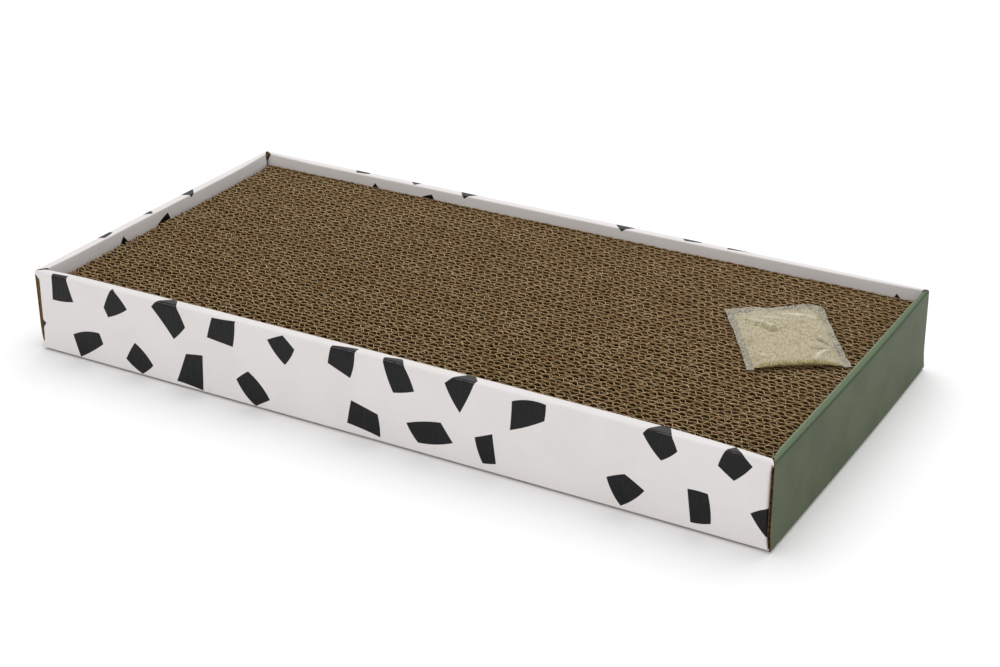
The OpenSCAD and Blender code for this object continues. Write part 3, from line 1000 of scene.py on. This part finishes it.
def pouch_shape():
    """Places of the pouch's upper and lower cloth, and what its shader needs of them: how far the
    cloth is sealed, where herb shows in the rolled end, and how far it is painted with highlight
    on its ridges and with shade in its grooves.
    """
    u, v = np.meshgrid(*[np.linspace(-1, 1, steps + 1) for steps in POUCH_STEPS], indexing="ij")
    x, y = u * SACHET_L / 2, v * SACHET_W / 2
    # Shares of the way along and across the filled part, and into its emptier corner.
    along = np.clip((x + 33.5) / 61.5, 0, 1)
    across = np.clip(np.abs(y) / 23.8, 0, 1)
    corner = np.clip((x - 18) / 18, 0, 1) * np.clip((y - 10) / 13, 0, 1)
    lift = 4.5 * (1 - across**3) ** 0.8 * np.clip(along * 4, 0, 1) ** 0.8
    lift = lift * (0.45 + 0.55 * along) * (1 - 0.45 * corner)
    filled = np.clip(lift / 1.2, 0, 1)
    folds = sum(ridge(x, y, *crease) for crease in POUCH_CREASES)
    crumple = 0.16 * np.sin(x * 0.9 + 2.3 * np.sin(y * 0.35)) * np.cos(y * 0.8 + 1.7 * np.sin(x * 0.21))
    lumps = 0.28 * wobble(61, x * 1.3 + y * 0.7, 9.0, 5) + 0.26 * wobble(62, y * 1.2 - x * 0.6, 7.0, 5)
    lift = np.clip(lift + filled * (folds + crumple + lumps), 0, None)
    # Painted highlight and shade of the creases: 0 on the ridges, 1 in the grooves.
    groove_shade = np.clip(0.5 - (0.42 * folds + 0.5 * crumple + 0.35 * lumps) * filled, 0, 1)
    seal = 1 - np.clip(lift / 0.5, 0, 1)
    curl = np.interp(y, CURL_AT, CURL_LIFT) * np.clip((-u - 0.72) / 0.28, 0, 1) ** 1.6
    curl = curl + 0.8 * np.clip((np.abs(v) - 0.8) / 0.2, 0, 1) ** 2 * (1 + wobble(64, x, 22.0, 3)) / 2
    pull_y = 1 - 0.03 * (1 - u**2) * np.abs(v) ** 3
    place_x = x + 0.25 * wobble(65, y, 18.0, 3) * np.clip((np.abs(u) - 0.8) / 0.2, 0, 1)
    place_x = place_x + 3.2 * np.clip((y - 20.5) / 7.0, 0, 1) ** 2 * np.clip((-u - 0.75) / 0.25, 0, 1)
    place_y = y * pull_y + 0.25 * wobble(66, x, 18.0, 3) * np.clip((np.abs(v) - 0.8) / 0.2, 0, 1)
    low = 0.06 + curl
    turned = np.clip((x - ROLL_START) / ROLL_LENGTH, 0, 1)
    angle = ROLL_TURN * turned
    rolled = np.clip(lift / 1.6, 0, 1) * (turned > 0)
    high = low + 0.3 + lift * (1 - rolled * (0.5 - 0.5 * np.cos(angle)))
    upper_x = place_x + rolled * (ROLL_START + 6.6 * np.sin(angle) - x)
    lower_x = place_x - rolled * turned * 3.4
    sparkle = rolled * np.clip((turned - 0.26) / 0.14, 0, 1)
    seal = seal * (1 - sparkle)
    return upper_x, lower_x, place_y, low, high, seal, sparkle, groove_shade


def on_pad(points):
    turn_cos, turn_sin = math.cos(SACHET_TURN), math.sin(SACHET_TURN)
    turn = np.array([[turn_cos, -turn_sin], [turn_sin, turn_cos]])
    points[:, :2] = points[:, :2] @ turn.T + np.array(SACHET_AT[:2])
    points[:, 2] += SACHET_AT[2]
    return points


def nonwoven():
    """Thin bonded fibre cloth: herb shows through it, and its seals are crimped and greyer."""
    maker = Maker("nonwoven_web", Roughness=0.75, Specular_IOR_Level=0.3)
    place = maker.place()
    seal = maker.attribute("seal")
    sparkle = maker.attribute("sparkle")
    fibres = maker.noise(maker.stretched(place, (1.0, 1.0, 0.5)), 2300.0, 4.0, 0.7)
    grain = maker.noise(place, 1250.0, 3.0, 0.65)
    mottle = maker.noise(place, 260.0, 4.0, 0.65)
    cloud = maker.noise(place, 75.0, 2.0)
    holes = maker.step(maker.noise(place, 800.0, 2.0, 0.6), 0.50, 0.58)
    herb = maker.mix(maker.step(grain, 0.35, 0.65), HERB_OLIVE, HERB_PALE)
    herb = maker.mix(maker.step(maker.noise(place, 1500.0, 2.0), 0.56, 0.66), herb, HERB_DARK)
    body = maker.mix(maker.step(grain, 0.34, 0.68), WEB_MID, WEB_PALE)
    tint = maker.step(mottle, 0.46, 0.66) * maker.step(cloud, 0.42, 0.62)
    groove_shade = maker.attribute("groove_shade")
    # Painted highlight on the ridges and painted shade in the grooves.
    body = maker.mix(maker.step(groove_shade, 0.40, 0.05) * 0.9, body, WEB_RIDGE_HIGHLIGHT)
    body = maker.mix(maker.step(groove_shade, 0.55, 1.0) * 0.55, body, WEB_GROOVE_SHADE)
    body = maker.mix(tint * 0.7 + sparkle * 0.9, body, herb)
    border = maker.mix(maker.step(grain, 0.36, 0.66), WEB_GREY, WEB_SEAL)
    border = maker.mix(holes * maker.step(cloud, 0.38, 0.55) * 0.9, border, WEB_FLECK)
    colour = maker.mix(maker.step(seal + (mottle - 0.5) * 1.6, 0.2, 0.9), body, border)
    colour = maker.mix(maker.step(fibres, 0.5, 0.75) * 0.35, colour, WEB_SEAL)
    maker.set("Base Color", colour)
    maker.bump(fibres * 0.5 + grain * 0.6 + mottle * 0.5, 0.45)
    return maker.material


def build_sachet():
    upper_x, lower_x, y, low, high, seal, sparkle, groove_shade = pouch_shape()
    upper = np.stack([upper_x, y, high], -1).reshape(-1, 3)
    lower = np.stack([lower_x, y, low], -1).reshape(-1, 3)
    sides, edges = shell_faces(*y.shape)
    fields = {"seal": seal, "sparkle": sparkle, "groove_shade": groove_shade}
    fields = {key: np.tile(values.ravel(), 2) for key, values in fields.items()}
    points = on_pad(np.concatenate([upper, lower]))
    faces = np.concatenate(sides + edges)
    pouch = mesh_piece("herb_sachet", points, faces, [nonwoven()], None, fields, 60.0)
    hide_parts("sachet_lower_web", "sachet_upper_web", "herb_filling")
    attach(pouch, "sachet")


build_sachet()


# Stage.
FLOOR_REACH = 9000.0
FLOOR_Z = -0.05
ROOM_LIGHT = 0.74


def build_floor():
    maker = Maker("floor", Roughness=0.9, Specular_IOR_Level=0.0)
    maker.set("Base Color", FLOOR_WHITE)
    signs = ((-1, -1), (1, -1), (1, 1), (-1, 1))
    corners = [(x * FLOOR_REACH, y * FLOOR_REACH, FLOOR_Z) for x, y in signs]
    mesh_piece("floor", corners, [(0, 1, 2, 3)], [maker.material])


def build_world():
    """An even white room that lights the object, and plain white where it is seen itself."""
    world = bpy.data.worlds.new("studio")
    bpy.context.scene.world = world
    world.use_nodes = True
    tree = world.node_tree
    tree.nodes.clear()
    path = tree.nodes.new("ShaderNodeLightPath")
    seen = path.outputs["Is Camera Ray"]
    for ray in ("Is Transmission Ray", "Is Glossy Ray"):
        either = tree.nodes.new("ShaderNodeMath")
        either.operation = "MAXIMUM"
        tree.links.new(seen, either.inputs[0])
        tree.links.new(path.outputs[ray], either.inputs[1])
        seen = either.outputs[0]
    mix = tree.nodes.new("ShaderNodeMixShader")
    tree.links.new(seen, mix.inputs[0])
    for socket, strength in ((mix.inputs[1], ROOM_LIGHT), (mix.inputs[2], 1.0)):
        white = tree.nodes.new("ShaderNodeBackground")
        white.inputs["Color"].default_value = (1, 1, 1, 1)
        white.inputs["Strength"].default_value = strength
        tree.links.new(white.outputs[0], socket)
    output = tree.nodes.new("ShaderNodeOutputWorld")
    tree.links.new(mix.outputs[0], output.inputs["Surface"])


def area_light(name, place, target, size, watts):
    lamp = bpy.data.lights.new(name, "AREA")
    lamp.shape = "SQUARE"
    lamp.size = size
    lamp.energy = watts
    holder = bpy.data.objects.new(name, lamp)
    holder.location = place
    holder.rotation_mode = "QUATERNION"
    holder.rotation_quaternion = (Vector(target) - Vector(place)).to_track_quat("-Z", "Y")
    bpy.context.scene.collection.objects.link(holder)


def build_camera():
    """The photograph's viewpoint, as fitted to corners of the tray."""
    data = bpy.data.cameras.new("camera")
    data.sensor_width = 36.0
    data.lens = 70.65
    camera = bpy.data.objects.new("camera", data)
    forward = Vector((-0.45027, 0.78114, -0.43253)).normalized()
    right = Vector((0.86760, 0.49723, -0.00521))
    right = (right - forward * right.dot(forward)).normalized()
    up = right.cross(forward)
    basis = Matrix((right, up, -forward)).transposed().to_4x4()
    camera.matrix_world = Matrix.Translation((0.5144, -0.8672, 0.4990)) @ basis
    bpy.context.scene.collection.objects.link(camera)
    bpy.context.scene.camera = camera


build_floor()
build_world()
area_light("key_light", (-0.05, 0.7, 1.6), (0.0, 0.0, 0.0), 2.0, 20.5)
area_light("front_fill", (0.2, -2.4, 0.5), (0.0, 0.0, 0.02), 1.2, 13.5)
build_camera()
bpy.context.scene.view_settings.view_transform = "Standard"
